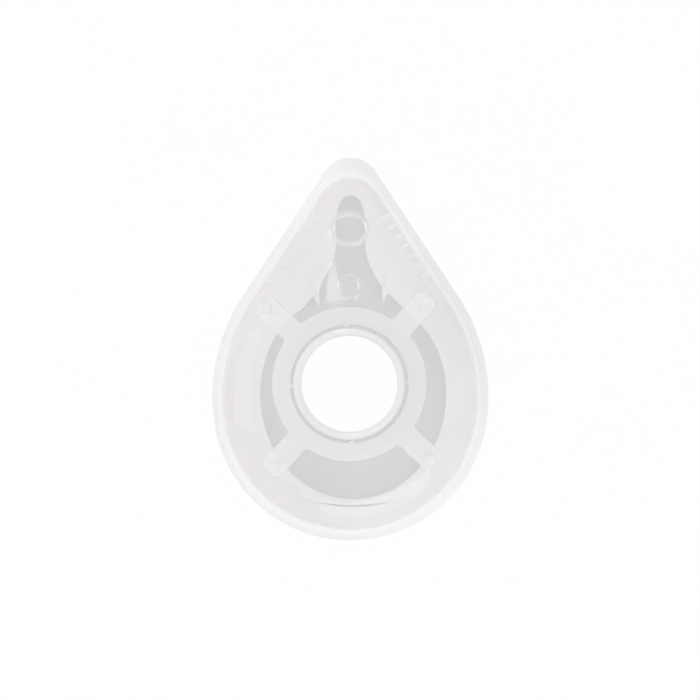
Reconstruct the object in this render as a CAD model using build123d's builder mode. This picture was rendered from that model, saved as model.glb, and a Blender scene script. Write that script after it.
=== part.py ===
from build123d import *
from math import acos, atan2, cos, hypot, pi, radians, sin
import os

os.makedirs("parts", exist_ok=True)

# An anesthesia face mask: a clear dome with a 22 mm port, a soft face cuff and a strap hook ring.
# It lies cuff down: the floor is Z = 0, the nose end points to +Y and the port opens to +Z.

# Outline of the cuff, seen from above
mask_length = 89.8
mask_half_width = 32.4
nose_radius = 7.1
cheek_fullness = 0.29        # 0 joins chin and nose by a straight flank, 1 by one cheek arc
cheek_rise = 1.5             # centre of the cheek arc above the centre of the chin arc

# Heights
rim_height = 19.0            # top edge of the cuff, where the dome leaves it
shoulder_height = 28.5       # flat shoulder round the port, which carries the hook ring
port_height = 47.5           # mouth of the port

# Dome
dome_wall = 1.0
rim_band_nose = 5.2          # width of cuff that shows outside the dome, at the nose
rim_band_side = 2.9          # the same at the cheeks and the chin
rim_nose_radius = 7.7
shoulder_margin = 1.85       # from the hook ring's edge to the edge of the flat shoulder
foot_depth = 2.6             # length of the dome's foot inside the cuff

# Port, a female cone with a parallel land below its mouth
port_offset = 8.2            # from the middle of the mask towards the chin
port_bore_radius = 11.0
port_mouth_radius = 11.2
port_land = 14.0             # length of the parallel land
port_base_wall = 1.85        # at the shoulder
port_lip_wall = 1.25         # at the mouth
port_lip_chamfer = 0.35

# Oval ring moulded on the nose ridge
oval_height = 0.35
oval_inset = 16.5            # from the nose end to the ring's centre
oval_half_width = 4.8
oval_half_length = 4.1
oval_band = 0.9

# Cuff
cuff_wall = 1.3
cuff_widest = 5.6            # height at which the cuff is as wide as its outline
cuff_roll = 4.5              # radius of the roll that meets the face
contact_band = 0.8           # flat width of the roll that the mask rests on
seat_gap = 0.1               # between the dome's foot and the cuff's socket
collar_land = 0.5            # flat top of the collar outside the dome
membrane_rise = 3.0          # how far the face membrane arches up behind the roll
membrane_wall = 1.2
membrane_inset = 9.0         # from the outline to the flat of the membrane
membrane_swell = 0.6         # share of its rise that the membrane has reached halfway in
membrane_nose_radius = 0.8
membrane_nose_inset = 10.0   # from the nose end of the mask to the flat of the membrane

# Face opening in the membrane, an oval with a slot for the nose
flap_side = 10.8             # from the outline to the oval's edge, at the cheeks
flap_chin = 9.6              # the same at the chin
opening_top = 14.1           # nose end of the oval, from the middle of the mask
bead_width = 1.6
bead_height = 0.9
slot_half_width = 3.5
slot_inset = 8.7             # from the nose end to the slot's tip
slot_tip_length = 5.5
slot_length = 12.2           # from the slot's tip to its flare
slot_flare_lift = 0.5        # end of the flare above the top of the oval
slot_flare_half_width = 7.4
slot_flare_slope = 1.2       # of the flare's end, down for each step outwards
tooth_reach = 3.4            # pointed teeth where the slot's flare meets the oval opening
tooth_width = 1.5

# Short ribs inside the collar, along both flanks of the nose
rib_count = 8
rib_pitch = 2.75
rib_width = 0.9
rib_length = 2.2             # of the rib nearest the nose, inwards from the dome's wall
rib_taper = 0.12             # how much shorter each further rib is
rib_depth = 3.4              # down from the dome's foot
rib_start = 5.6              # from the end of the nose arc to the first rib, along the flank

# Strap hook ring, pressed over the port
ring_gap = 0.55              # between the port and the ring's hole
ring_band = 4.35
ring_thickness = 1.6
ring_turn = 2.4              # degrees that it sits turned about the port
nub_width = 1.3
nub_gap = 0.05               # between a nub's tip and the port
nub_root = 0.5               # part of the nub inside the ring
arm_reach = 27.4
arm_turn = 45                # degrees from a nub to the next arm
arm_width = 5.5
arm_end_round = 2.3
arm_root_round = 0.8
ring_edge_chamfer = 0.25
hook_inset = 1.8             # from the arm's end to the hook's centre
hook_base_radius = 1.15
hook_base_height = 2.2       # the strap lies on this base, round the post, under the head
hook_post_radius = 0.95
hook_head_radius = 1.25
hook_height = 5.6
hook_head_height = 1.3
hook_head_step = 0.3         # slope under the hook's head
hook_head_chamfer = 0.4
gusset_length = 2.4          # from the post's centre towards the port
gusset_width = 0.8
hook_count = 4

# Places that follow from the sizes
nose_end = mask_length / 2
chin_end = -mask_length / 2
port_y = -port_offset
foot_height = rim_height - foot_depth
port_land_top = shoulder_height - dome_wall + port_land
port_base_radius = port_bore_radius + port_base_wall
port_top_radius = port_mouth_radius + port_lip_wall
ring_inner_radius = port_base_radius + ring_gap
ring_outer_radius = ring_inner_radius + ring_band
shoulder_radius = ring_outer_radius + shoulder_margin
hook_circle_radius = arm_reach - hook_inset
opening_half_width = mask_half_width - flap_side
opening_chin = chin_end + flap_chin
opening_half_length = (opening_top - opening_chin) / 2
opening_middle = (opening_top + opening_chin) / 2
slot_tip = nose_end - slot_inset
slot_flare_start = slot_tip - slot_length
slot_flare_end = opening_top + slot_flare_lift
cheek_climb = (nose_end - nose_radius) - (chin_end + mask_half_width + cheek_rise)
widest_cheek = (cheek_climb**2 + mask_half_width**2 - nose_radius**2) / 2
widest_cheek = widest_cheek / (mask_half_width - nose_radius)
cheek_radius = mask_half_width + (widest_cheek - mask_half_width) * cheek_fullness

# Ends of the six stretches of a circle that a drop's own stretches run into, in degrees
circle_stops = (125, 55, 15, -25, -155, -195, -235)


# A drop outline is (nose radius, nose arc centre, half width, chin end, cheek radius).
def drop(nose_r, nose_tip, half_width, chin, cheek_r):
    return (nose_r, nose_tip - nose_r, half_width, chin, cheek_r)


def inset(outline, distance):
    """The same drop, drawn parallel to itself and smaller by the distance."""
    nose_r, nose_y, half_width, chin, cheek_r = outline
    return (nose_r - distance, nose_y, half_width - distance, chin + distance, cheek_r - distance)


def blend(first, second, share):
    """A drop between two others."""
    return tuple(a + (b - a) * share for a, b in zip(first, second))


def drop_centres(outline):
    """Chin radius and the heights of the chin and cheek centres, so that all arcs are tangent."""
    nose_r, nose_y, half_width, chin, cheek_r = outline
    chin_r = cheek_r - hypot(cheek_r - half_width, cheek_rise)
    chin_y = chin + chin_r
    return chin_r, chin_y, chin_y + cheek_rise


def flank_angle(outline):
    """Direction in which the straight flank between the nose and the cheek faces."""
    nose_r, nose_y, half_width, chin, cheek_r = outline
    cheek_y = drop_centres(outline)[2]
    across, along = cheek_r - half_width, nose_y - cheek_y
    return atan2(along, across) - acos((cheek_r - nose_r) / hypot(across, along))


def drop_sketch(outline, height):
    """The drop as a face: nose arc, flank, cheek arc, chin arc, and back up the other side."""
    nose_r, nose_y, half_width, chin, cheek_r = outline
    chin_r, chin_y, cheek_y = drop_centres(outline)
    across = cheek_r - half_width
    flank = flank_angle(outline)
    chin_turn = atan2(chin_y - cheek_y, across)
    middle = (flank + chin_turn) / 2
    nose_side = (nose_r * cos(flank), nose_y + nose_r * sin(flank))
    cheek_top = (cheek_r * cos(flank) - across, cheek_y + cheek_r * sin(flank))
    cheek_middle = (cheek_r * cos(middle) - across, cheek_y + cheek_r * sin(middle))
    cheek_end = (chin_r * cos(chin_turn), chin_y + chin_r * sin(chin_turn))

    def left(point):
        return (-point[0], point[1])

    with BuildSketch(Plane.XY.offset(height)) as face:
        with BuildLine():
            ThreePointArc(left(nose_side), (0, nose_y + nose_r), nose_side)
            Line(nose_side, cheek_top)
            ThreePointArc(cheek_top, cheek_middle, cheek_end)
            ThreePointArc(cheek_end, (0, chin), left(cheek_end))
            ThreePointArc(left(cheek_end), left(cheek_middle), left(cheek_top))
            Line(left(cheek_top), left(nose_side))
        make_face()
    return face.sketch


def round_sketch(radius, height):
    """A circle round the port, split into the same six stretches as a drop."""
    def at(angle):
        return (radius * cos(radians(angle)), port_y + radius * sin(radians(angle)))

    with BuildSketch(Plane.XY.offset(height)) as face:
        with BuildLine():
            for start, end in zip(circle_stops, circle_stops[1:]):
                ThreePointArc(at(start), at((start + end) / 2), at(end))
        make_face()
    return face.sketch


cuff_outline = drop(nose_radius, nose_end, mask_half_width, chin_end, cheek_radius)
rim_outline = drop(
    rim_nose_radius,
    nose_end - rim_band_nose,
    mask_half_width - rim_band_side,
    chin_end + rim_band_side,
    cheek_radius - rim_band_side,
)
port_circle = (shoulder_radius, port_y, shoulder_radius, port_y - shoulder_radius, shoulder_radius)
flat_cuff = inset(cuff_outline, membrane_inset)
membrane_flat = drop(
    membrane_nose_radius,
    nose_end - membrane_nose_inset,
    flat_cuff[2],
    flat_cuff[3],
    flat_cuff[4],
)


# Dome: a quarter wave from the upright rim to the flat shoulder
dome_steps = 4


def dome_loft(growth):
    """Lofts the dome's skin, moved outwards by the growth, in the part that is being built."""
    crown = shoulder_height + growth
    sections = []
    for step in range(dome_steps):
        turn = pi / 2 * step / dome_steps
        outline = inset(blend(rim_outline, port_circle, 1 - cos(turn)), -growth)
        height = rim_height + (crown - rim_height) * sin(turn)
        sections.append(drop_sketch(outline, height))
    sections.append(round_sketch(shoulder_radius + growth, crown))
    loft(sections)


with BuildPart() as oval_ring:
    dome_loft(oval_height)
    with BuildSketch():
        with Locations((0, nose_end - oval_inset)):
            Ellipse(oval_half_width, oval_half_length)
            Ellipse(oval_half_width - oval_band, oval_half_length - oval_band, mode=Mode.SUBTRACT)
    extrude(amount=port_height, mode=Mode.INTERSECT)

with BuildPart() as dome_hollow:
    dome_loft(-dome_wall)
    extrude(drop_sketch(inset(rim_outline, dome_wall), foot_height), amount=foot_depth)

port_plane = Plane(origin=(0, port_y, 0), x_dir=(1, 0, 0), z_dir=(0, -1, 0))
port_axis = Axis((0, port_y, 0), (0, 0, 1))

with BuildPart() as mask_shell:
    dome_loft(0)
    extrude(drop_sketch(rim_outline, foot_height), amount=foot_depth)
    add(oval_ring.part)
    add(dome_hollow.part, mode=Mode.SUBTRACT)
    with BuildSketch(port_plane):
        Polygon(
            (0, shoulder_height - dome_wall),
            (port_base_radius, shoulder_height - dome_wall),
            (port_top_radius, port_height),
            (0, port_height),
            align=None,
        )
    revolve(axis=port_axis)
    chamfer(mask_shell.edges().group_by(Axis.Z)[-1], port_lip_chamfer)
    with BuildSketch(port_plane):
        Polygon(
            (0, foot_height),
            (port_bore_radius, foot_height),
            (port_bore_radius, port_land_top),
            (port_mouth_radius, port_height),
            (0, port_height),
            align=None,
        )
    revolve(axis=port_axis, mode=Mode.SUBTRACT)
mask_shell.part.label = "mask_shell"
export_step(mask_shell.part, "parts/mask_shell.step")


# Cuff: an upper bulge from the collar out to the widest line, then a roll under to the face
bulge_steps = 3
roll_steps = 3


def cuff_loft(growth, top_outline, top_height):
    """Lofts the cuff's skin, moved outwards by the growth, in the part that is being built."""
    widest = inset(cuff_outline, -growth)
    sections = []
    for step in range(bulge_steps + 1):
        turn = pi / 2 * step / bulge_steps
        height = top_height - (top_height - cuff_widest) * (1 - cos(turn))
        sections.append(drop_sketch(blend(top_outline, widest, sin(turn)), height))
    roll = cuff_roll + growth
    depth = cuff_widest + growth
    for step in range(1, roll_steps + 1):
        turn = pi / 2 * step / roll_steps
        height = cuff_widest - depth * sin(turn)
        sections.append(drop_sketch(inset(widest, roll * (1 - cos(turn))), height))
    loft(sections)


def membrane_loft(growth):
    """Lofts the hollow behind the face membrane, moved up and outwards by the growth."""
    foot = inset(cuff_outline, cuff_roll + contact_band - growth)
    flat = inset(membrane_flat, -growth / 2)
    rise = membrane_rise + growth
    halfway = drop_sketch(blend(foot, flat, 0.5), rise * membrane_swell)
    loft([drop_sketch(foot, 0), halfway, drop_sketch(flat, rise)])


with BuildPart() as membrane_under:
    membrane_loft(0)

with BuildPart() as membrane_over:
    membrane_loft(membrane_wall)

with BuildPart() as cuff_hollow:
    cuff_loft(-cuff_wall, inset(rim_outline, dome_wall + seat_gap), foot_height - cuff_wall)
    add(membrane_over.part, mode=Mode.SUBTRACT)

with BuildPart() as face_opening:
    with BuildSketch(Plane.XY) as opening_sketch:
        with Locations((0, opening_middle)):
            Ellipse(opening_half_width, opening_half_length)
        with BuildLine():
            tip_base = slot_tip - slot_tip_length
            tip = EllipticalCenterArc((0, tip_base), slot_half_width, slot_tip_length, arc_size=90)
            side = Line(tip @ 0, (slot_half_width, slot_flare_start))
            flare = Spline(
                side @ 1,
                (slot_flare_half_width, slot_flare_end),
                tangents=((0, -1), (1, -slot_flare_slope)),
            )
            drop_line = Line(flare @ 1, (slot_flare_half_width, 0))
            Line(drop_line @ 1, (0, 0))
            mirror(about=Plane.YZ)
        make_face()
        for hand in (1, -1):
            edge = slot_flare_half_width
            with BuildLine():
                Polyline(
                    (hand * edge, slot_flare_end),
                    (hand * edge, slot_flare_end - tooth_reach),
                    (hand * (edge + tooth_width), slot_flare_end),
                    close=True,
                )
            make_face(mode=Mode.SUBTRACT)
    extrude(amount=cuff_widest)

rim_flank = flank_angle(rim_outline)
rim_nose_side = (
    rim_outline[0] * cos(rim_flank),
    rim_outline[1] + rim_outline[0] * sin(rim_flank),
    foot_height,
)
rib_plane = Plane(
    origin=rim_nose_side,
    x_dir=(sin(rim_flank), -cos(rim_flank), 0),
    z_dir=(0, 0, 1),
)

with BuildPart() as flank_ribs:
    with BuildSketch(rib_plane):
        for index in range(rib_count):
            length = dome_wall / 2 + rib_length - index * rib_taper
            with Locations((rib_start + index * rib_pitch, -dome_wall / 2 - length / 2)):
                Rectangle(rib_width, length)
    extrude(amount=-rib_depth)
    mirror(about=Plane.YZ)

with BuildPart() as cuff:
    cuff_loft(0, inset(rim_outline, -seat_gap - collar_land), rim_height)
    socket = drop_sketch(inset(rim_outline, -seat_gap), foot_height)
    extrude(socket, amount=foot_depth, mode=Mode.SUBTRACT)
    passage = drop_sketch(inset(rim_outline, dome_wall + seat_gap), foot_height - cuff_wall)
    extrude(passage, amount=cuff_wall, mode=Mode.SUBTRACT)
    add(cuff_hollow.part, mode=Mode.SUBTRACT)
    add(flank_ribs.part)
    with BuildSketch():
        with Locations((0, opening_middle)):
            Ellipse(opening_half_width + bead_width, opening_half_length + bead_width)
    extrude(amount=membrane_rise + membrane_wall + bead_height)
    add(membrane_under.part, mode=Mode.SUBTRACT)
    add(face_opening.part, mode=Mode.SUBTRACT)
cuff.part.label = "cuff"
export_step(cuff.part, "parts/cuff.step")


# Strap hook ring: a flat ring with four arms, each with an upright hook post near its end
ring_x = (cos(radians(ring_turn)), sin(radians(ring_turn)), 0)
ring_plane = Plane(origin=(0, port_y, shoulder_height), x_dir=ring_x, z_dir=(0, 0, 1))
arm_plane = ring_plane.offset(ring_thickness)
nub_length = ring_gap - nub_gap + nub_root
nub_middle = ring_inner_radius + nub_root - nub_length / 2

with BuildPart() as strap_hook:
    with BuildSketch(Plane.XZ):
        with BuildLine():
            Polyline(
                (0, 0),
                (hook_base_radius, 0),
                (hook_base_radius, hook_base_height),
                (hook_post_radius, hook_base_height),
                (hook_post_radius, hook_height - hook_head_height),
                (hook_head_radius, hook_height - hook_head_height + hook_head_step),
                (hook_head_radius, hook_height),
                (0, hook_height),
                close=True,
            )
        make_face()
    revolve(axis=Axis.Z)
    chamfer(strap_hook.edges().group_by(Axis.Z)[-1], hook_head_chamfer)
    with BuildSketch(Plane.XZ.offset(-gusset_width / 2)):
        with BuildLine():
            Polyline((0, 0), (0, hook_base_height), (-gusset_length, 0), close=True)
        make_face()
    extrude(amount=gusset_width)

with BuildPart() as hook_ring:
    with BuildSketch(ring_plane) as ring_sketch:
        Circle(ring_outer_radius)
        with PolarLocations(arm_reach / 2, hook_count, start_angle=arm_turn):
            Rectangle(arm_reach, arm_width)
        corners = ring_sketch.vertices().sort_by(lambda corner: Vector(corner).length)
        fillet(corners[-2 * hook_count:], arm_end_round)
        roots = ring_sketch.vertices().group_by(lambda corner: Vector(corner).length)[0]
        fillet(roots, arm_root_round)
        Circle(ring_inner_radius, mode=Mode.SUBTRACT)
        with PolarLocations(nub_middle, hook_count):
            Rectangle(nub_length, nub_width)
    extrude(amount=ring_thickness)
    chamfer(hook_ring.edges().group_by(Axis.Z)[-1], ring_edge_chamfer)
    with Locations(arm_plane):
        with PolarLocations(hook_circle_radius, hook_count, start_angle=arm_turn):
            add(strap_hook.part)
hook_ring.part.label = "hook_ring"
export_step(hook_ring.part, "parts/hook_ring.step")
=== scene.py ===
from math import acos, asin, atan2, cos, hypot, pi, radians, sin, sqrt

import bmesh
import bpy
import numpy as np
from mathutils import Matrix, Vector
from mathutils.bvhtree import BVHTree
from mathutils.geometry import tessellate_polygon


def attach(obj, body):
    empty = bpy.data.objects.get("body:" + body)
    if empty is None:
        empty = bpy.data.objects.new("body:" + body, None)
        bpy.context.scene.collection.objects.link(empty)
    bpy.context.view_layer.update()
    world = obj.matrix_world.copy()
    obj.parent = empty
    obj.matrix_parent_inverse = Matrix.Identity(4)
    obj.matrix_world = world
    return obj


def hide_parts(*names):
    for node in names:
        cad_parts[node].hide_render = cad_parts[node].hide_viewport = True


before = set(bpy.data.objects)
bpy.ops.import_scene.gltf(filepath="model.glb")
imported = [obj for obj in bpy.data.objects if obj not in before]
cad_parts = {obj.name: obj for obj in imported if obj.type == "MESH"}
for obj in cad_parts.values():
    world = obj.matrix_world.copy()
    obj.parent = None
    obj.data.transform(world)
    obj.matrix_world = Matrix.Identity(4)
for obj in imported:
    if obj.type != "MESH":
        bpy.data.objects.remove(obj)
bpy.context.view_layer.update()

# Sizes in millimetres, as in the part; meshes are made in metres
MM = 0.001

# Outline and dome; what is called seen is finer here than in the part
mask_length = 89.8
mask_half_width = 32.4
nose_radius = 7.1
cheek_fullness = 0.29
cheek_rise = 1.5
rim_height = 19.0
shoulder_height = 28.5
port_height = 47.5
dome_wall = 1.0
rim_band_nose = 5.2
rim_band_side = 2.9
rim_nose_radius = 7.7
foot_depth = 2.6
seen_foot_depth = 0.2
seen_seat_gap = 0.04
ledge_width = 0.4
rim_wall = 0.35

# Port
port_y = -8.2
port_bore_radius = 11.0
port_mouth_radius = 11.2
port_land = 14.0
port_base_radius = 12.85
port_top_radius = 12.45
port_foot_rise = 0.3
milky_bore_radius = 12.1
clear_roof_radius = 12.5

# Cuff and membrane
cuff_wall = 1.3
cuff_widest = 5.6
cuff_roll = 4.5
contact_band = 0.8
collar_land = 0.5
membrane_rise = 3.0
membrane_wall = 1.2
face_arch = 5.2
back_arch = 3.5
bead_width = 1.6
bead_height = 0.45
bead_slope = 0.4
bead_lip = 0.2

# Face opening
opening_top = 14.1
flap_side = 10.8
flap_chin = 9.6
slot_half_width = 3.5
slot_inset = 8.7
slot_tip_length = 5.5
slot_length = 12.2
slot_flare_lift = 0.5
slot_flare_half_width = 7.4
tooth_reach = 3.6
left_tooth_drop = 0.9
opening_shift = 0.6
opening_spread = 0.015
wing_apex = (8.9, 13.2)
wing_foot_turn = 56.5
opening_cheek_turn = 15
tooth_drop_reach = 3.5

# Strap hook ring
ring_turn = 2.4
ring_thickness = 1.6
plate_lift = 0.04
plate_round = 0.3
shoulder_margin = 1.85
ring_inner_radius = 13.4
ring_outer_radius = 17.75
nub_tip_radius = 12.9
nub_width = 1.3
arm_reach = 27.4
arm_width = 5.5
arm_end_round = 2.3
arm_root_round = 0.8
hook_circle_radius = 25.6
hook_base_radius = 1.15
hook_base_height = 2.2
hook_post_radius = 0.95
hook_head_radius = 1.25
hook_height = 5.6
hook_head_height = 1.3
hook_head_step = 0.3
hook_head_round = 0.4
gusset_length = 2.4
gusset_width = 0.8

# Ribs along the flanks
rib_count = 8
rib_pitch = 2.75
rib_width = 0.9
rib_length = 2.2
rib_taper = 0.12
rib_depth = 0.45
rib_top = 18.4
rib_start = 5.6
rib_edge = 0.1
rib_end_share = 0.85

# Oval band and numeral on the dome
oval_centre = (-0.1, 27.4)
oval_radii = (4.25, 3.55)
oval_half_band = 0.6
oval_rise = 0.35
mark_sunk = 0.15
mark_slope = 0.32
mark_crown = 0.45
numeral_rise = 0.25
numeral_half_width = 0.6
# Centre, radius, and the turns in degrees between which its bow runs
numeral_arc = (0.15, 14.2, 2.35)
numeral_turns = (178, -45)
numeral_end = (-1.5, 10.2)

# Fold at the chin, a groove with a painted shade line along it, and creases that run up from the
# teeth
fold_centre = (0.35, 1.9)
fold_radius = 38.8
fold_turn = 15
fold_half_width = 0.3
fold_depth = 0.45
# From this far off the opening on, the mesh has steps fine enough for the fold
fold_zone = 3.4
fold_step = 0.12

crease_half_width = 0.9
# Points along each crease, with its depth there
creases = (
    ((-7.7, 11.5, 0.5), (-8.5, 16.0, 0.45), (-9.3, 19.5, 0.0)),
    ((7.6, 12.5, 0.5), (8.1, 16.5, 0.5), (8.7, 18.8, 0.35), (9.9, 22.0, 0.0)),
)

nose_end = mask_length / 2
chin_end = -mask_length / 2
foot_height = rim_height - foot_depth
seen_foot = rim_height - seen_foot_depth
plate_top = shoulder_height + ring_thickness
shoulder_radius = ring_outer_radius + shoulder_margin
port_land_top = shoulder_height - dome_wall + port_land
fold_reach = fold_radius * sin(radians(fold_turn))

# Edges that turn by more degrees than SHARP_TURN stay sharp; points within MERGE_GAP metres are one
SHARP_TURN = 38
MERGE_GAP = 1e-7

# Mesh steps: along the stretches of an outline, up the dome, and round small shapes
NOSE_STEPS = 48
FLANK_STEPS = 96
CHEEK_STEPS = 40
CHIN_STEPS = 96
DOME_ROWS = 64
RIM_ROWS = 24
LIP_STEPS = 5
OVAL_STEPS = 180
HOOK_STEPS = 48

# The six stretches of an outline, and the turns in degrees where they start on a circle
STRETCHES = (NOSE_STEPS, FLANK_STEPS, CHEEK_STEPS, CHIN_STEPS, CHEEK_STEPS, FLANK_STEPS)
CIRCLE_STOPS = (125, 55, 15, -25, -155, -195, -235)


# Outlines: a drop is (nose radius, nose arc centre, half width, chin end, cheek radius)
def drop(nose_r, nose_tip, half_width, chin, cheek_r):
    return (nose_r, nose_tip - nose_r, half_width, chin, cheek_r)


def inset(outline, distance):
    nose_r, nose_y, half_width, chin, cheek_r = outline
    return (nose_r - distance, nose_y, half_width - distance, chin + distance, cheek_r - distance)


def blend(first, second, share):
    return tuple(a + (b - a) * share for a, b in zip(first, second))


def arc(centre, radius, start, end, steps):
    """Points along an arc, without its last one."""
    turns = start + (end - start) * np.arange(steps) / steps
    return np.column_stack((centre[0] + radius * np.cos(turns), centre[1] + radius * np.sin(turns)))


def line(start, end, steps):
    share = (np.arange(steps) / steps)[:, None]
    return np.array(start) * (1 - share) + np.array(end) * share


def mirrored(points, end):
    """The stretch on the other side, run backwards: it starts at the mirrored end point."""
    whole = np.vstack((points, [end]))[::-1] * (-1, 1)
    return whole[:-1]


def arcs_of(outline):
    """A drop's offset of the cheek centres, its chin's radius and centre, and its flank's turn."""
    nose_r, nose_y, half_width, chin, cheek_r = outline
    across = cheek_r - half_width
    chin_r = cheek_r - hypot(across, cheek_rise)
    chin_y = chin + chin_r
    climb = nose_y - (chin_y + cheek_rise)
    flank = atan2(climb, across) - acos((cheek_r - nose_r) / hypot(across, climb))
    return across, chin_r, chin_y, flank


def drop_ring(outline, height):
    """The drop as a closed ring of points, clockwise from the left end of the nose arc."""
    nose_r, nose_y, _, _, cheek_r = outline
    across, chin_r, chin_y, flank = arcs_of(outline)
    cheek_y = chin_y + cheek_rise
    chin_turn = atan2(-cheek_rise, across)
    nose_side = (nose_r * cos(flank), nose_y + nose_r * sin(flank))
    cheek_top = (cheek_r * cos(flank) - across, cheek_y + cheek_r * sin(flank))
    cheek_end = (chin_r * cos(chin_turn), chin_y + chin_r * sin(chin_turn))
    side = line(nose_side, cheek_top, FLANK_STEPS)
    cheek = arc((-across, cheek_y), cheek_r, flank, chin_turn, CHEEK_STEPS)
    flat = np.vstack((
        arc((0, nose_y), nose_r, pi - flank, flank, NOSE_STEPS),
        side,
        cheek,
        arc((0, chin_y), chin_r, chin_turn, -pi - chin_turn, CHIN_STEPS),
        mirrored(cheek, cheek_end),
        mirrored(side, cheek_top),
    ))
    return np.column_stack((flat, np.full(len(flat), height)))


def circle_ring(radius, height):
    """A circle round the port, with its points in the same six stretches as a drop's."""
    flat = np.vstack([
        arc((0, port_y), radius, radians(start), radians(end), steps)
        for start, end, steps in zip(CIRCLE_STOPS, CIRCLE_STOPS[1:], STRETCHES)
    ])
    return np.column_stack((flat, np.full(len(flat), height)))


def smooth_rows(sections, rows):
    """Rings on a natural cubic spline through the sections, without the last section."""
    count = len(sections)
    values = np.array([section.ravel() for section in sections])
    system = np.eye(count)
    right = np.zeros_like(values)
    for i in range(1, count - 1):
        system[i, i - 1:i + 2] = (1, 4, 1)
        right[i] = 6 * (values[i - 1] - 2 * values[i] + values[i + 1])
    bend = np.linalg.solve(system, right)
    made = []
    for place in np.arange(rows) / rows * (count - 1):
        i = min(int(place), count - 2)
        b = place - i
        a = 1 - b
        value = a * values[i] + b * values[i + 1]
        value += ((a**3 - a) * bend[i] + (b**3 - b) * bend[i + 1]) / 6
        made.append(value.reshape(-1, 3))
    return made


def mesh_object(name, vertices, faces, material):
    """An object from corners in millimetres, smooth but for its sharp edges."""
    mesh = bpy.data.meshes.new(name)
    mesh.from_pydata([tuple(v) for v in np.array(vertices) * MM], [], faces)
    work = bmesh.new()
    work.from_mesh(mesh)
    bmesh.ops.remove_doubles(work, verts=work.verts, dist=MERGE_GAP)
    bmesh.ops.dissolve_degenerate(work, edges=work.edges, dist=MERGE_GAP)
    bmesh.ops.recalc_face_normals(work, faces=work.faces)
    for face in work.faces:
        face.smooth = True
    work.to_mesh(mesh)
    work.free()
    mesh.set_sharp_from_angle(angle=radians(SHARP_TURN))
    mesh.materials.append(material)
    made = bpy.data.objects.new(name, mesh)
    bpy.context.collection.objects.link(made)
    return made


def ring_body(name, rows, material, closed=True):
    """A body from rings of points: each joins the next and, if closed, the last joins the first."""
    around = len(rows[0])
    faces = []
    for r in range(len(rows) if closed else len(rows) - 1):
        low, high = r * around, (r + 1) % len(rows) * around
        for i in range(around):
            j = (i + 1) % around
            faces.append((low + i, low + j, high + j, high + i))
    return mesh_object(name, np.vstack(rows), faces, material)


# The cheek radius lies between half the width and the widest one that still meets the nose
cheek_climb = (nose_end - nose_radius) - (chin_end + mask_half_width + cheek_rise)
widest_cheek = (cheek_climb**2 + mask_half_width**2 - nose_radius**2) / 2
widest_cheek = widest_cheek / (mask_half_width - nose_radius)
cheek_radius = mask_half_width + (widest_cheek - mask_half_width) * cheek_fullness
cuff_outline = drop(nose_radius, nose_end, mask_half_width, chin_end, cheek_radius)
rim_outline = drop(
    rim_nose_radius,
    nose_end - rim_band_nose,
    mask_half_width - rim_band_side,
    chin_end + rim_band_side,
    cheek_radius - rim_band_side,
)
port_circle = (shoulder_radius, port_y, shoulder_radius, port_y - shoulder_radius, shoulder_radius)


# Materials
class Nodes:
    """A node tree, with short ways to add nodes and to join them."""

    def __init__(self, owner):
        owner.use_nodes = True
        self.tree = owner.node_tree

    def feed(self, node, inputs):
        """Each input gets a number, a colour, or the output of another node."""
        for name, value in inputs.items():
            if isinstance(value, bpy.types.NodeSocket):
                self.tree.links.new(value, node.inputs[name])
            else:
                node.inputs[name].default_value = value

    def add(self, kind, inputs, output, **settings):
        """A new node's output."""
        node = self.tree.nodes.new("ShaderNode" + kind)
        for name, value in settings.items():
            setattr(node, name, value)
        self.feed(node, inputs)
        return node.outputs[output]

    def chain(self, operation, values, clamp=False):
        """The values joined into one by a maths operation."""
        joint = values[0]
        for value in values[1:]:
            pair = {0: joint, 1: value}
            joint = self.add("Math", pair, "Value", operation=operation, use_clamp=clamp)
        return joint

    def ramp(self, source, start, end, low, high):
        """Low up to the start, high from the end on, and a smooth step in between."""
        inputs = {"Value": source, "From Min": start, "From Max": end}
        inputs |= {"To Min": low, "To Max": high}
        return self.add("MapRange", inputs, "Result", interpolation_type="SMOOTHSTEP")

    def ray(self, kind):
        """What the light path says of the ray, such as Is Camera Ray."""
        return self.add("LightPath", {}, kind)

    def mix(self, share, first, second):
        """Two surfaces mixed by the share of the second."""
        return self.add("MixShader", {0: share, 1: first, 2: second}, "Shader")


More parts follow.
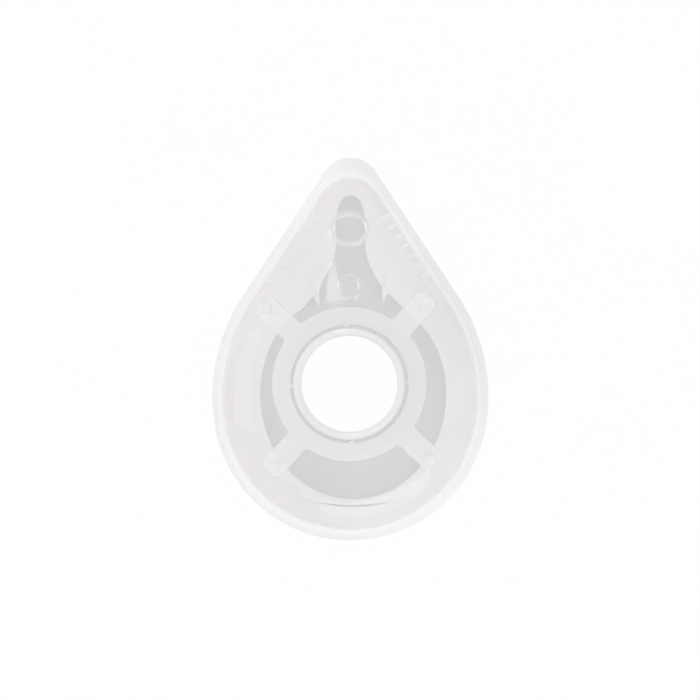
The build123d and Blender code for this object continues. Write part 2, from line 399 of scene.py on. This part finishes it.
class Material(Nodes):
    """A material with its principled shader, in the object's own coordinates."""

    def __init__(self, name):
        self.made = bpy.data.materials.new(name)
        super().__init__(self.made)
        self.shader = self.tree.nodes["Principled BSDF"]
        self.solid = self.shader.outputs["BSDF"]
        self.place = self.add("TexCoord", {}, "Object")

    def noise(self, scale, detail, low, high):
        """A noise between two values."""
        inputs = {"Vector": self.place, "Scale": scale, "Detail": detail}
        return self.ramp(self.add("TexNoise", inputs, "Fac"), 0.3, 0.7, low, high)

    def along(self, axis, place=None):
        """One coordinate of the place on the object, or of another place."""
        return self.add("SeparateXYZ", {"Vector": place or self.place}, axis)

    def seen_from(self, centre):
        """The place as seen from a centre on the ground, and how far it is from the axis there."""
        start = (centre[0] * MM, centre[1] * MM, 0)
        moved = self.add("VectorMath", {0: self.place, 1: start}, "Vector", operation="SUBTRACT")
        flat = self.add("VectorMath", {0: moved, 1: (1, 1, 0)}, "Vector", operation="MULTIPLY")
        return moved, self.add("VectorMath", {0: flat}, "Value", operation="LENGTH")

    def steepness(self):
        """0 on a face that looks at the viewer, 1 on one that is seen edge on."""
        return self.add("LayerWeight", {}, "Facing")

    def colour(self, share, first, second):
        """From the first colour to the second; each is a triple or an output."""
        inputs = {"Factor": share}
        for name, value in (("A", first), ("B", second)):
            inputs[name] = (*value, 1) if isinstance(value, tuple) else value
        return self.add("Mix", inputs, "Result", data_type="RGBA")

    def on_the_way_in(self, share):
        """The share on a surface that is met from outside, 0 on one that is met from within."""
        leaving = self.add("NewGeometry", {}, "Backfacing")
        return self.add("Mix", {"Factor": leaving, "A": share, "B": 0.0}, "Result")

    def see_through(self, body, mirrored, gloss, through):
        """Light passes, less so where the body is high, and part is mirrored on the way in."""
        clear = self.add("BsdfTransparent", {"Color": (0.98, 0.98, 0.98, 1)}, "BSDF")
        colour = self.shader.inputs["Base Color"].links[0].from_socket
        behind = self.add("BsdfTranslucent", {"Color": colour}, "BSDF")
        inside = self.mix(body, clear, self.mix(through, self.solid, behind))
        mirror = self.add("BsdfGlossy", {"Roughness": gloss}, "BSDF")
        return self.mix(self.on_the_way_in(mirrored), inside, mirror)

    def done(self, surface, lamp_share, tint):
        """The finished material: a share of the rays to the lamps passes it, as in a thin wall."""
        lamp_ray = self.chain("MULTIPLY", (self.ray("Is Shadow Ray"), lamp_share))
        clear = self.add("BsdfTransparent", {"Color": (*tint, 1)}, "BSDF")
        return self.ended_by(self.mix(lamp_ray, surface, clear))

    def ended_by(self, surface):
        """The material, with that surface at its output."""
        self.feed(self.tree.nodes["Material Output"], {"Surface": surface})
        return self.made


# How milky the port's thick wall is, where the thin dome is clear
PORT_MILKINESS = 0.93


def clear_plastic(name, haze, steep, shine):
    """Clear over the dome and milky in the port's thick wall, with some shine on steep faces."""
    m = Material(name)
    cloud = m.noise(60, 3, 0.0, 1.0)
    m.feed(m.shader, {
        "Base Color": m.colour(cloud, (0.9, 0.893, 0.898), (0.92, 0.913, 0.918)),
        "Roughness": 0.4,
    })
    port_foot = (shoulder_height + port_foot_rise) * MM
    above = m.ramp(m.along("Z"), port_foot, port_foot + 0.6 * MM, 0.0, PORT_MILKINESS)
    from_axis = m.seen_from((0, port_y))[1]
    bore = m.ramp(from_axis, milky_bore_radius * MM, clear_roof_radius * MM, PORT_MILKINESS, 0.0)
    body = m.chain("ADD", (m.noise(90, 4, *haze), m.chain("MAXIMUM", (above, bore))), clamp=True)
    mirrored = m.ramp(m.steepness(), *steep, *shine)
    surface = m.see_through(body, mirrored, m.noise(180, 4, 0.02, 0.035), through=0.55)
    return m.done(surface, 0.9, (0.98, 0.98, 0.98))


def fold_painted_shade(m):
    """Painted shade along the thin fold across the membrane at the chin, standing in for the shadow
    in it: 1 in its middle, 0 away from it.
    """
    place, length = m.seen_from(fold_centre)
    width = fold_half_width * MM
    middle = fold_radius * MM
    end = fold_reach * MM
    top = (membrane_rise + membrane_wall / 2) * MM
    return m.chain("MULTIPLY", (
        m.ramp(length, middle, middle + width, 1.0, 0.0),
        m.ramp(length, middle - width, middle, 0.0, 1.0),
        m.ramp(m.along("X", place), -end, -0.4 * end, 0.0, 1.0),
        m.ramp(m.along("X", place), 0.4 * end, end, 1.0, 0.0),
        m.ramp(m.along("Y", place), -0.5 * middle, 0.0, 1.0, 0.0),
        m.ramp(m.along("Z", place), top - 0.2 * MM, top, 0.0, 1.0),
    ))


def milky_cuff():
    """Soft milky plastic: part of the light that falls on it comes out behind, with a painted shade
    line along the chin fold.
    """
    m = Material("milky_cuff")
    skin = m.colour(m.noise(45, 3, 0.0, 1.0), (0.955, 0.947, 0.945), (0.968, 0.962, 0.96))
    # Painted shade: the cuff's colour darkens along the chin fold, in place of the shadow that lies
    # in it
    colour = m.colour(fold_painted_shade(m), skin, (0.62, 0.605, 0.63))
    grain = {"Strength": 0.05, "Distance": 0.0001, "Height": m.noise(900, 2, 0.0, 1.0)}
    m.feed(m.shader, {
        "Base Color": colour,
        "Roughness": m.noise(400, 3, 0.38, 0.5),
        "IOR": 1.41,
        "Normal": m.add("Bump", grain, "Normal"),
    })
    behind = m.add("BsdfTranslucent", {"Color": colour}, "BSDF")
    return m.done(m.mix(0.42, m.solid, behind), 1.0, (0.975, 0.97, 0.968))


def milky_ring():
    """Stiff translucent plastic: milky in the plate, clearer in the thin hooks above it."""
    m = Material("milky_ring")
    cloud = m.noise(40, 1, 0.0, 1.0)
    m.feed(m.shader, {
        "Base Color": m.colour(cloud, (0.875, 0.87, 0.88), (0.885, 0.88, 0.89)),
        "Roughness": 0.35,
    })
    hooks = (m.along("Z"), plate_top * MM, plate_top * MM + 0.1 * MM)
    steepness = m.steepness()
    veil = m.ramp(*hooks, 0.7, m.ramp(steepness, 0.5, 0.8, 0.4, 0.03))
    mirrored = m.ramp(steepness, 0.1, 0.45, 0.05, m.ramp(*hooks, 0.6, 0.04))
    gloss = m.noise(150, 1, 0.31, 0.34)
    surface = m.see_through(m.on_the_way_in(veil), mirrored, gloss, through=0.1)
    return m.done(surface, 1.0, (0.97, 0.97, 0.975))


CLEAR = clear_plastic("clear_plastic", haze=(0.03, 0.07), steep=(0.5, 1.0), shine=(0.05, 0.12))
OVAL = clear_plastic("raised_oval", haze=(0.42, 0.48), steep=(0.03, 0.12), shine=(0.05, 0.22))
NUMERAL = clear_plastic("raised_numeral", haze=(0.08, 0.12), steep=(0.03, 0.12), shine=(0.05, 0.3))
MILKY = milky_cuff()
RING = milky_ring()


# Dome and port
def dome_rows(growth, rows):
    """Rings from the rim to the shoulder, on the dome's skin moved outwards by the growth."""
    crown = shoulder_height + growth
    sections = []
    for step in range(4):
        turn = pi / 8 * step
        outline = inset(blend(rim_outline, port_circle, 1 - cos(turn)), -growth)
        sections.append(drop_ring(outline, rim_height + (crown - rim_height) * sin(turn)))
    sections.append(circle_ring(shoulder_radius + growth, crown))
    return smooth_rows(sections, rows) + [sections[-1]]


def lip_rows(inner, outer, top, round_radius):
    """Rings over a rounded lip, from the outside in."""
    turns = [pi / 2 * step / LIP_STEPS for step in range(LIP_STEPS + 1)]
    bends = [(round_radius * (1 - cos(turn)), round_radius * (1 - sin(turn))) for turn in turns]
    rows = [circle_ring(outer - side, top - down) for side, down in bends]
    return rows + [circle_ring(inner + side, top - down) for down, side in bends]


def shell_rows():
    """Rings up the dome and the port outside, over the lip, and down again inside."""
    edge = 0.05
    lip = 0.2
    under = shoulder_height - dome_wall
    shoulder_stops = (shoulder_radius - 0.3, 17, 15, 13.6, 13.2)
    bore_stops = (port_land_top - 0.5, 38, under + 0.5, under + 0.2)
    bore_foot = ((0.06, under + 0.06), (0.2, under), (0.5, under))
    rows = [drop_ring(inset(rim_outline, edge), seen_foot)]
    rows += [drop_ring(rim_outline, seen_foot + edge)]
    rows += dome_rows(0, DOME_ROWS)
    rows += [circle_ring(radius, shoulder_height) for radius in shoulder_stops]
    rows += [circle_ring(port_base_radius + 0.1, shoulder_height + 0.05)]
    rows += [circle_ring(port_base_radius, shoulder_height + port_foot_rise)]
    for share in (0.02, 0.25, 0.5, 0.75, 0.97):
        radius = port_base_radius + (port_top_radius - port_base_radius) * share
        rows.append(circle_ring(radius, shoulder_height + (port_height - shoulder_height) * share))
    rows += lip_rows(port_mouth_radius, port_top_radius, port_height, lip)
    rows += [circle_ring(port_mouth_radius, port_height - 1.0)]
    rows += [circle_ring(port_bore_radius + 0.03, port_land_top + 0.5)]
    rows += [circle_ring(port_bore_radius, z) for z in bore_stops]
    rows += [circle_ring(port_bore_radius + out, z) for out, z in bore_foot]
    rows += [circle_ring(r, under) for r in (13, 15, 17, shoulder_radius - dome_wall - 0.3)]
    # Inside, the wall grows from thin at the rim to its full thickness
    full, thin = dome_rows(-dome_wall, DOME_ROWS), dome_rows(-rim_wall, DOME_ROWS)
    shares = [min(k / RIM_ROWS, 1)**0.8 for k in range(len(full))]
    rows += [a * share + b * (1 - share) for a, b, share in zip(full, thin, shares)][::-1]
    inner = inset(rim_outline, rim_wall)
    rows += [drop_ring(inner, seen_foot + edge), drop_ring(inset(inner, -edge), seen_foot)]
    return rows


shell = ring_body("clear_shell", shell_rows(), CLEAR)
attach(shell, "root")
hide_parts("mask_shell")


# Marks raised on the dome: an oval band and a plain numeral
shell_skin = BVHTree.FromPolygons(
    [vertex.co for vertex in shell.data.vertices],
    [face.vertices for face in shell.data.polygons],
)


def on_dome(flat, rise):
    """Points over the flat ones, that far above the dome."""
    lifted = []
    for x, y in flat:
        hit = shell_skin.ray_cast(Vector((x * MM, y * MM, 1)), Vector((0, 0, -1)))[0]
        lifted.append((x, y, hit.z / MM + rise))
    return np.array(lifted)


def band_profile(half_width, rise):
    """Across a raised band: how far from its middle, and how high."""
    return (
        (half_width, -mark_sunk),
        (half_width, 0.0),
        (half_width - mark_slope, rise * 0.8),
        (half_width - mark_crown, rise),
    )


def oval_rows():
    """Rings round the oval band, over its outer and then its inner side."""
    turns = np.linspace(0, 2 * pi, OVAL_STEPS, endpoint=False)
    profile = band_profile(oval_half_band, oval_rise)
    rows = []
    for out, rise in profile + tuple((-out, rise) for out, rise in profile[::-1]):
        flat = np.column_stack((
            oval_centre[0] + (oval_radii[0] + out) * np.cos(turns),
            oval_centre[1] + (oval_radii[1] + out) * np.sin(turns),
        ))
        rows.append(on_dome(flat, rise))
    return rows


oval = ring_body("oval_mark", oval_rows(), OVAL)
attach(oval, "root")


def numeral_path():
    """The middle of the numeral's stroke: an arc over the top, then a straight leg."""
    x, y, radius = numeral_arc
    turns = np.radians(np.linspace(*numeral_turns, 60))
    bow = np.column_stack((x + radius * np.cos(turns), y + radius * np.sin(turns)))
    return np.vstack((bow, line(bow[-1], numeral_end, 30)[1:], [numeral_end]))


def stroke_loop(path, distance):
    """A loop round an open path at that distance, with round ends."""
    along = np.gradient(path, axis=0)
    along = along / np.linalg.norm(along, axis=1)[:, None]
    across = np.column_stack((-along[:, 1], along[:, 0]))
    caps = []
    bends = np.linspace(0, pi, 14)[1:-1]
    for point, facing in ((path[-1], along[-1]), (path[0], -along[0])):
        side = np.array((-facing[1], facing[0]))
        half_circle = np.outer(np.cos(bends), side) + np.outer(np.sin(bends), facing)
        caps.append(point + distance * half_circle)
    return np.vstack((path + across * distance, caps[0], (path - across * distance)[::-1], caps[1]))


def numeral_rows():
    """Loops round the numeral's stroke, from the middle of its foot out and over to its crown."""
    path = numeral_path()
    side = band_profile(numeral_half_width, numeral_rise)
    profile = ((0, -mark_sunk), *side, (0, numeral_rise))
    return [on_dome(stroke_loop(path, out), rise) for out, rise in profile]


numeral = ring_body("size_numeral", numeral_rows(), NUMERAL, closed=False)
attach(numeral, "root")


# Cuff
def opening_ring(height, toothed=False):
    """The face opening: the slot's tip, its side and flare, a pointed tooth, and the oval."""
    half_width = mask_half_width - flap_side
    chin = chin_end + flap_chin
    half_length = (opening_top - chin) / 2
    middle = (opening_top + chin) / 2
    tip = nose_end - slot_inset
    tip_base = tip - slot_tip_length
    flare_start = tip - slot_length
    flare_end = opening_top + slot_flare_lift
    edge = slot_flare_half_width
    foot_turn = radians(wing_foot_turn)
    wing_foot = (half_width * cos(foot_turn), middle + half_length * sin(foot_turn))

    def oval_arc(start, end, steps):
        turns = start + (end - start) * np.arange(steps) / steps
        return np.column_stack((half_width * np.cos(turns), middle + half_length * np.sin(turns)))

    turns = pi - pi * np.arange(NOSE_STEPS) / NOSE_STEPS
    top = np.column_stack((
        slot_half_width * np.cos(turns),
        tip_base + slot_tip_length * np.sin(turns),
    ))
    # Steps of the side's five stretches: together FLANK_STEPS
    straight, curve, drop_steps, climb_steps, wing = 32, 36, 6, 6, 16
    root = (edge, flare_end)
    tooth_tip = (edge + 0.05, flare_end - tooth_reach)
    if not toothed:
        tooth_tip = tuple((a + b) / 2 for a, b in zip(root, wing_apex))
    share = np.arange(curve) / curve
    lean = share**2 * (1.6 - 0.6 * share)
    flare = np.column_stack((
        slot_half_width + (edge - slot_half_width) * lean,
        flare_start + (flare_end - flare_start) * share,
    ))
    side = np.vstack((
        line((slot_half_width, tip_base), (slot_half_width, flare_start), straight),
        flare,
        line(root, tooth_tip, drop_steps),
        line(tooth_tip, wing_apex, climb_steps),
        line(wing_apex, wing_foot, wing),
    ))
    turn_end = -radians(opening_cheek_turn)
    cheek = oval_arc(foot_turn, turn_end, CHEEK_STEPS)
    cheek_end = (half_width * cos(turn_end), middle + half_length * sin(turn_end))
    flat = np.vstack((
        top,
        side,
        cheek,
        oval_arc(turn_end, -pi - turn_end, CHIN_STEPS),
        mirrored(cheek, cheek_end),
        mirrored(side, wing_foot),
    ))
    below = np.clip(1 - flat[:, 1] / wing_apex[1], 0, 1)
    flat[:, 0] *= 1 + opening_spread * below
    flat[:, 0] += opening_shift * below
    lower = left_tooth_drop * np.exp(-((flat[:, 1] - tooth_tip[1]) / tooth_drop_reach)**2)
    flat[:, 1] -= lower * np.clip(-flat[:, 0] / edge, 0, 1)
    return np.column_stack((flat, np.full(len(flat), height)))


def crease_drop(points):
    """How far the membrane dips in its creases, which run up from the teeth and fade out."""
    deepest = np.zeros(len(points))
    for crease in creases:
        for (*start, depth), (*end, end_depth) in zip(crease, crease[1:]):
            start, span = np.array(start), np.array(end) - np.array(start)
            share = np.clip(((points[:, :2] - start) @ span) / (span @ span), 0, 1)
            gap = points[:, :2] - start - share[:, None] * span
            nearness = np.clip(1 - np.hypot(gap[:, 0], gap[:, 1]) / crease_half_width, 0, 1)
            deepest = np.maximum(deepest, (depth + (end_depth - depth) * share) * nearness)
    return deepest


def chin_share(around):
    """1 in the middle of the chin's stretch, falling to 0 at its ends and beyond."""
    gain, cut = 1.6, 0.35
    place = (np.arange(around) - sum(STRETCHES[:3])) / CHIN_STEPS
    return np.clip(np.sin(np.clip(place, 0, 1) * pi) * gain - cut, 0, 1)


def fold_share(ring):
    """1 in the middle of the thin fold at the chin, 0 away from it."""
    off_middle = abs(ring[:, 0] - fold_centre[0])
    from_fold = np.hypot(ring[:, 0] - fold_centre[0], ring[:, 1] - fold_centre[1]) - fold_radius
    fold = np.clip(1 - abs(from_fold) / fold_half_width, 0, 1)
    return fold * np.clip(1.3 - off_middle / fold_reach, 0, 1)


def membrane_rows(start, rise, arch, beaded):
    """Rings across the face membrane, from a ring at its foot to the edge of the opening."""
    edge = opening_ring(0)
    reach = np.hypot(edge[:, 0] - start[:, 0], edge[:, 1] - start[:, 1])
    # How far each ring still is from the opening: even steps, then close ones for fold and bead
    near = tuple(fold_zone - fold_step * step for step in range(18))
    near += (1.1, 0.8, 0.5, 0.3, 0.15, 0.05, 0.0)
    stops = [near[0] + (reach - near[0]) * (1 - share) for share in np.linspace(0, 1, 27)[:-1]]
    stops += [np.minimum(stop, reach * stop / near[0]) for stop in near]
    rows = []
    for stop in stops:
        left = np.minimum(stop, reach)
        ring = edge + (start - edge) * (left / reach)[:, None]
        gone = (reach - left) / arch
        ring[:, 2] = start[:, 2] + (rise - start[:, 2]) * np.sin(np.minimum(gone, 1) * pi / 2)
        ring[:, 2] -= crease_drop(ring) * np.minimum(gone, 1)
        if beaded:
            bead = np.clip((bead_width - left) / bead_slope, 0, 1)
            bead *= np.clip(left / bead_lip, 0.4, 1)**0.5
            relief = bead_height * bead - fold_depth * fold_share(ring)
            ring[:, 2] += relief * chin_share(len(ring))
        rows.append(ring)
    teeth = opening_ring(0, toothed=True) - edge
    return rows + [rows[-1] + teeth * share for share in (0.15, 0.4, 0.7, 1.0)]


def cuff_skin(growth, top_outline, top_height, bulge_rows, roll_rows):
    """Rings from the collar out to the widest line and round the roll to the face."""
    widest = inset(cuff_outline, -growth)
    rows = []
    for step in range(bulge_rows):
        turn = pi / 2 * step / bulge_rows
        outline = blend(top_outline, widest, sin(turn))
        rows.append(drop_ring(outline, top_height - (top_height - cuff_widest) * (1 - cos(turn))))
    roll, depth = cuff_roll + growth, cuff_widest + growth
    for step in range(roll_rows + 1):
        turn = pi / 2 * step / roll_rows
        outline = inset(widest, roll * (1 - cos(turn)))
        rows.append(drop_ring(outline, cuff_widest - depth * sin(turn)))
    return rows


def cuff_rows():
    """Rings round the cuff's section: down outside, across the membrane's face and back inside."""
    soft = 0.06
    collar = inset(rim_outline, -seen_seat_gap)
    foot = drop_ring(inset(cuff_outline, cuff_roll + contact_band), 0)
    rows = [drop_ring(inset(collar, -soft), rim_height)]
    rows += cuff_skin(0, inset(collar, -collar_land), rim_height, bulge_rows=20, roll_rows=16)
    rows += membrane_rows(foot, membrane_rise, face_arch, beaded=False)
    passage = inset(rim_outline, ledge_width)
    inner = cuff_skin(-cuff_wall, passage, foot_height - cuff_wall, bulge_rows=16, roll_rows=12)
    # Half way down the roll the wall inside turns into the membrane
    inner = inner[:-6]
    rows += membrane_rows(inner[-1], membrane_rise + membrane_wall, back_arch, beaded=True)[::-1]
    rows += inner[:-1][::-1]
    ledge = seen_foot - 0.05
    rows += [drop_ring(passage, ledge - soft), drop_ring(inset(passage, -soft), ledge)]
    rows += [drop_ring(collar, ledge), drop_ring(collar, rim_height - soft)]
    return rows


def rib_blocks():
    """Corners and faces of the short ribs along both flanks, under the dome's foot."""
    nose_r, nose_y = rim_outline[:2]
    flank = arcs_of(rim_outline)[-1]
    along = np.array((sin(flank), -cos(flank)))
    inward = np.array((-cos(flank), -sin(flank)))
    foot = np.array((nose_r * cos(flank), nose_y + nose_r * sin(flank)))
    vertices, faces = [], []
    half = rib_width / 2
    right_side = ((half, -rib_depth), (half, -rib_edge), (half - rib_edge, 0))
    section = ((-half, -rib_depth), *right_side, (rib_edge - half, 0), (-half, -rib_edge))
    for hand in (1, -1):
        for index in range(rib_count):
            middle = foot + along * (rib_start + index * rib_pitch)
            end = dome_wall / 2 + (rib_length - index * rib_taper)
            base = len(vertices)
            stops = ((ledge_width - 0.05, 1), (end - rib_edge, 1), (end, rib_end_share))
            for depth, shrink in stops:
                for side, height in section:
                    x, y = middle + inward * depth + along * side * shrink
                    z = rib_top + height - 0.2 * (1 - shrink)
                    vertices.append((hand * x, y, z))
            count = len(section)
            for step in range(2):
                for i in range(count):
                    j = (i + 1) % count
                    low, high = base + step * count, base + (step + 1) * count
                    faces.append((low + i, low + j, high + j, high + i))
            faces.append(tuple(base + i for i in range(count)))
            faces.append(tuple(base + 2 * count + i for i in range(count)))
    return vertices, faces


def joined(body, extra):
    """The body with the other object's mesh added to its own."""
    work = bmesh.new()
    work.from_mesh(body.data)
    work.from_mesh(extra.data)
    work.to_mesh(body.data)
    work.free()
    bpy.data.objects.remove(extra)
    return body


cuff = ring_body("face_cuff", cuff_rows(), MILKY)
cuff = joined(cuff, mesh_object("ribs", *rib_blocks(), MILKY))
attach(cuff, "root")
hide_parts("cuff")


# Strap hook ring
def arm_quarter(inward):
    """A quarter of the ring's outer edge, moved inwards: an arm along x, then the bare ring."""
    radius = ring_outer_radius - inward
    half = arm_width / 2 - inward
    reach = arm_reach - inward
    corner = arm_end_round - inward
    root = arm_root_round + inward
    root_x = sqrt((radius + root)**2 - (half + root)**2)
    root_turn = atan2(half + root, root_x)
    near_side = np.vstack((
        arc((root_x, -half - root), root, pi - root_turn, pi / 2, 8),
        line((root_x, -half), (reach - corner, -half), 10),
        arc((reach - corner, corner - half), corner, -pi / 2, 0, 12),
        [(reach, corner - half)],
    ))
    bare = arc((0, 0), radius, root_turn, pi / 2 - root_turn, 24)[1:]
    return np.vstack((near_side, near_side[::-1] * (1, -1), bare))


def nub_quarter(outward):
    """A quarter of the ring's hole, moved outwards: a nub on x, then the bare hole."""
    radius = ring_inner_radius + outward
    half = nub_width / 2 - outward
    nub_turn = asin(half / radius)
    nub = ((nub_tip_radius + outward, -half), (nub_tip_radius + outward, half))
    bare = arc((0, 0), radius, nub_turn, pi / 2 - nub_turn, 40)
    return np.vstack((nub, bare, [(radius * sin(nub_turn), radius * cos(nub_turn))]))


def round_the_port(quarter, start, height):
    """The quarter's points four times round the port, as one closed ring."""
    turned = []
    for step in range(4):
        turn = radians(start + 90 * step)
        turned.append(quarter @ np.array(((cos(turn), sin(turn)), (-sin(turn), cos(turn)))))
    flat = np.vstack(turned) + (0, port_y)
    return np.column_stack((flat, np.full(len(flat), height)))


def plate_faces():
    """The ring's flat plate with all its edges rounded: vertices and faces."""
    turns = [k * pi / 8 for k in range(5)]
    bends = [(plate_round * (1 - sin(turn)), plate_round * (1 - cos(turn))) for turn in turns]
    low, high, flat_start = shoulder_height + plate_lift, plate_top, plate_round + 0.15
    profile = [(flat_start, low)] + [(inward, low + up) for inward, up in bends]
    profile += [(inward, high - up) for inward, up in bends[::-1]] + [(flat_start, high)]
    vertices, faces, ends = [], [], ([], [])
    for quarter, start in ((arm_quarter, ring_turn + 45), (nub_quarter, ring_turn)):
        base = len(vertices)
        rows = [round_the_port(quarter(inward), start, height) for inward, height in profile]
        around = len(rows[0])
        for index in range(len(rows) - 1):
            for i in range(around):
                j = (i + 1) % around
                first, second = base + index * around, base + (index + 1) * around
                faces.append((first + i, first + j, second + j, second + i))
        vertices += [tuple(point) for row in rows for point in row]
        ends[0].append(range(base, base + around))
        ends[1].append(range(len(vertices) - around, len(vertices)))
    for loops in ends:
        numbers = [number for loop in loops for number in loop]
        corners = [[Vector(vertices[number]) for number in loop] for loop in loops]
        faces += [tuple(numbers[i] for i in triangle) for triangle in tessellate_polygon(corners)]
    return vertices, faces


def hook_rows(centre):
    """Rings up a hook: a base that the strap lies on, a post and a head."""
    sunk, soft = 0.1, 0.12
    post_top = hook_height - hook_head_height
    profile = (
        (0, -sunk),
        (hook_base_radius, -sunk),
        (hook_base_radius, hook_base_height - soft),
        (hook_base_radius - soft, hook_base_height),
        (hook_post_radius, hook_base_height),
        (hook_post_radius, post_top),
        (hook_head_radius, post_top + hook_head_step),
        (hook_head_radius, hook_height - hook_head_round),
        (hook_head_radius - 0.1, hook_height - 0.15),
        (hook_head_radius - hook_head_round, hook_height),
        (0, hook_height),
    )
    turns = np.linspace(0, 2 * pi, HOOK_STEPS, endpoint=False)
    rows = []
    for radius, up in profile:
        x, y = centre[0] + radius * np.cos(turns), centre[1] + radius * np.sin(turns)
        rows.append(np.column_stack((x, y, np.full(HOOK_STEPS, plate_top + up))))
    return rows


def gusset_faces(turn):
    """The web from a hook's base towards the port: vertices and faces."""
    sunk = 0.1
    inner, outer = hook_circle_radius - gusset_length, hook_circle_radius
    side = ((inner, -sunk), (outer, -sunk), (outer, hook_base_height), (inner, 0.05))
    vertices = []
    for across in (-gusset_width / 2, gusset_width / 2):
        for along, up in side:
            x = along * cos(turn) - across * sin(turn)
            y = along * sin(turn) + across * cos(turn)
            vertices.append((x, y + port_y, plate_top + up))
    faces = [(i, (i + 1) % 4, 4 + (i + 1) % 4, 4 + i) for i in range(4)]
    return vertices, [(0, 1, 2, 3), (4, 5, 6, 7)] + faces


ring = mesh_object("strap_ring", *plate_faces(), RING)
for step in range(4):
    turn = radians(ring_turn + 45 + 90 * step)
    centre = (hook_circle_radius * cos(turn), port_y + hook_circle_radius * sin(turn))
    ring = joined(ring, ring_body("hook", hook_rows(centre), RING, closed=False))
    ring = joined(ring, mesh_object("gusset", *gusset_faces(turn), RING))
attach(ring, "root")
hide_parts("hook_ring")


# Floor, light and camera
BACKGROUND_RAYS = ("Is Camera Ray", "Is Transmission Ray", "Is Glossy Ray")


def floor_material():
    """Pale paper that shows white where nothing lies over it, and its own grey through the mask."""
    m = Material("floor_paper")
    fleck = m.noise(30, 2, 0.0, 1.0)
    m.feed(m.shader, {
        "Base Color": m.colour(fleck, (0.705, 0.702, 0.718), (0.72, 0.717, 0.733)),
        "Roughness": 0.9,
        "Specular IOR Level": 0.1,
    })
    bare = m.ramp(m.ray("Transparent Depth"), 0.0, 1.0, 0.92, 0.0)
    shown = 0.0
    for kind in BACKGROUND_RAYS:
        inputs = {0: m.ray(kind), 1: bare, 2: shown}
        shown = m.add("Math", inputs, "Value", operation="MULTIPLY_ADD", use_clamp=True)
    white = m.add("Emission", {"Strength": 1.02}, "Emission")
    return m.ended_by(m.mix(shown, m.solid, white))


floor_half = 3.0
floor_drop = 0.0001
floor_mesh = bpy.data.meshes.new("floor")
corners = ((-1, -1), (1, -1), (1, 1), (-1, 1))
floor_points = [(x * floor_half, y * floor_half, 0) for x, y in corners]
floor_mesh.from_pydata(floor_points, [], [(0, 1, 2, 3)])
floor = bpy.data.objects.new("floor", floor_mesh)
floor.location.z = -floor_drop
floor_mesh.materials.append(floor_material())
bpy.context.collection.objects.link(floor)


lamp_aim = (0, 0, 0.02)


def soft_box(name, place, size, watts):
    """A rectangular lamp that looks at the mask."""
    light = bpy.data.lights.new(name, "AREA")
    light.shape = "RECTANGLE"
    light.size, light.size_y = size
    light.energy = watts
    lamp = bpy.data.objects.new(name, light)
    lamp.location = place
    lamp.rotation_mode = "QUATERNION"
    lamp.rotation_quaternion = (Vector(lamp_aim) - Vector(place)).to_track_quat("-Z", "Y")
    bpy.context.collection.objects.link(lamp)


soft_box("left", (-1.2, 0.1, 0.7), (1.0, 1.4), 3.4)
soft_box("overhead", (0.05, 0.05, 1.7), (2.0, 2.0), 3.2)
soft_box("front", (0.3, -1.2, 0.6), (1.4, 0.8), 3.3)
# The dome mirrors this narrow lamp as the thin streak beside the numeral
soft_box("strip", (-0.065, 0.22, 1.7), (0.035, 0.36), 0.13)

world = bpy.data.worlds.new("studio")
sky = Nodes(world)
shown = sky.chain("ADD", [sky.ray(kind) for kind in BACKGROUND_RAYS], clamp=True)
strength = sky.add("MapRange", {"Value": shown, "To Min": 0.8, "To Max": 1.0}, "Result")
sky.feed(sky.tree.nodes["Background"], {"Strength": strength, "Color": (1, 1, 1, 1)})
bpy.context.scene.world = world

# The photograph looks straight down, with the mask 0.235 mm to a pixel at its widest line
photo_width = 700
photo_scale = 0.235
camera_place = Vector((0.010, -0.009, 1.0))
target = Vector((-0.12, -0.235, cuff_widest)) * MM
camera_data = bpy.data.cameras.new("camera")
camera = bpy.data.objects.new("camera", camera_data)
bpy.context.collection.objects.link(camera)
bpy.context.scene.camera = camera
camera.location = camera_place
view_line = target - camera_place
back = -view_line.normalized()
right = Vector((0, 1, 0)).cross(back).normalized()
camera.rotation_euler = Matrix((right, back.cross(right), back)).transposed().to_euler()
camera_data.sensor_width = 36
camera_data.lens = camera_data.sensor_width * view_line.length / (photo_width * photo_scale * MM)
camera_data.clip_start = 0.01

bpy.context.scene.view_settings.view_transform = "Standard"
bpy.context.scene.cycles.diffuse_bounces = 10
bpy.context.scene.cycles.transparent_max_bounces = 32
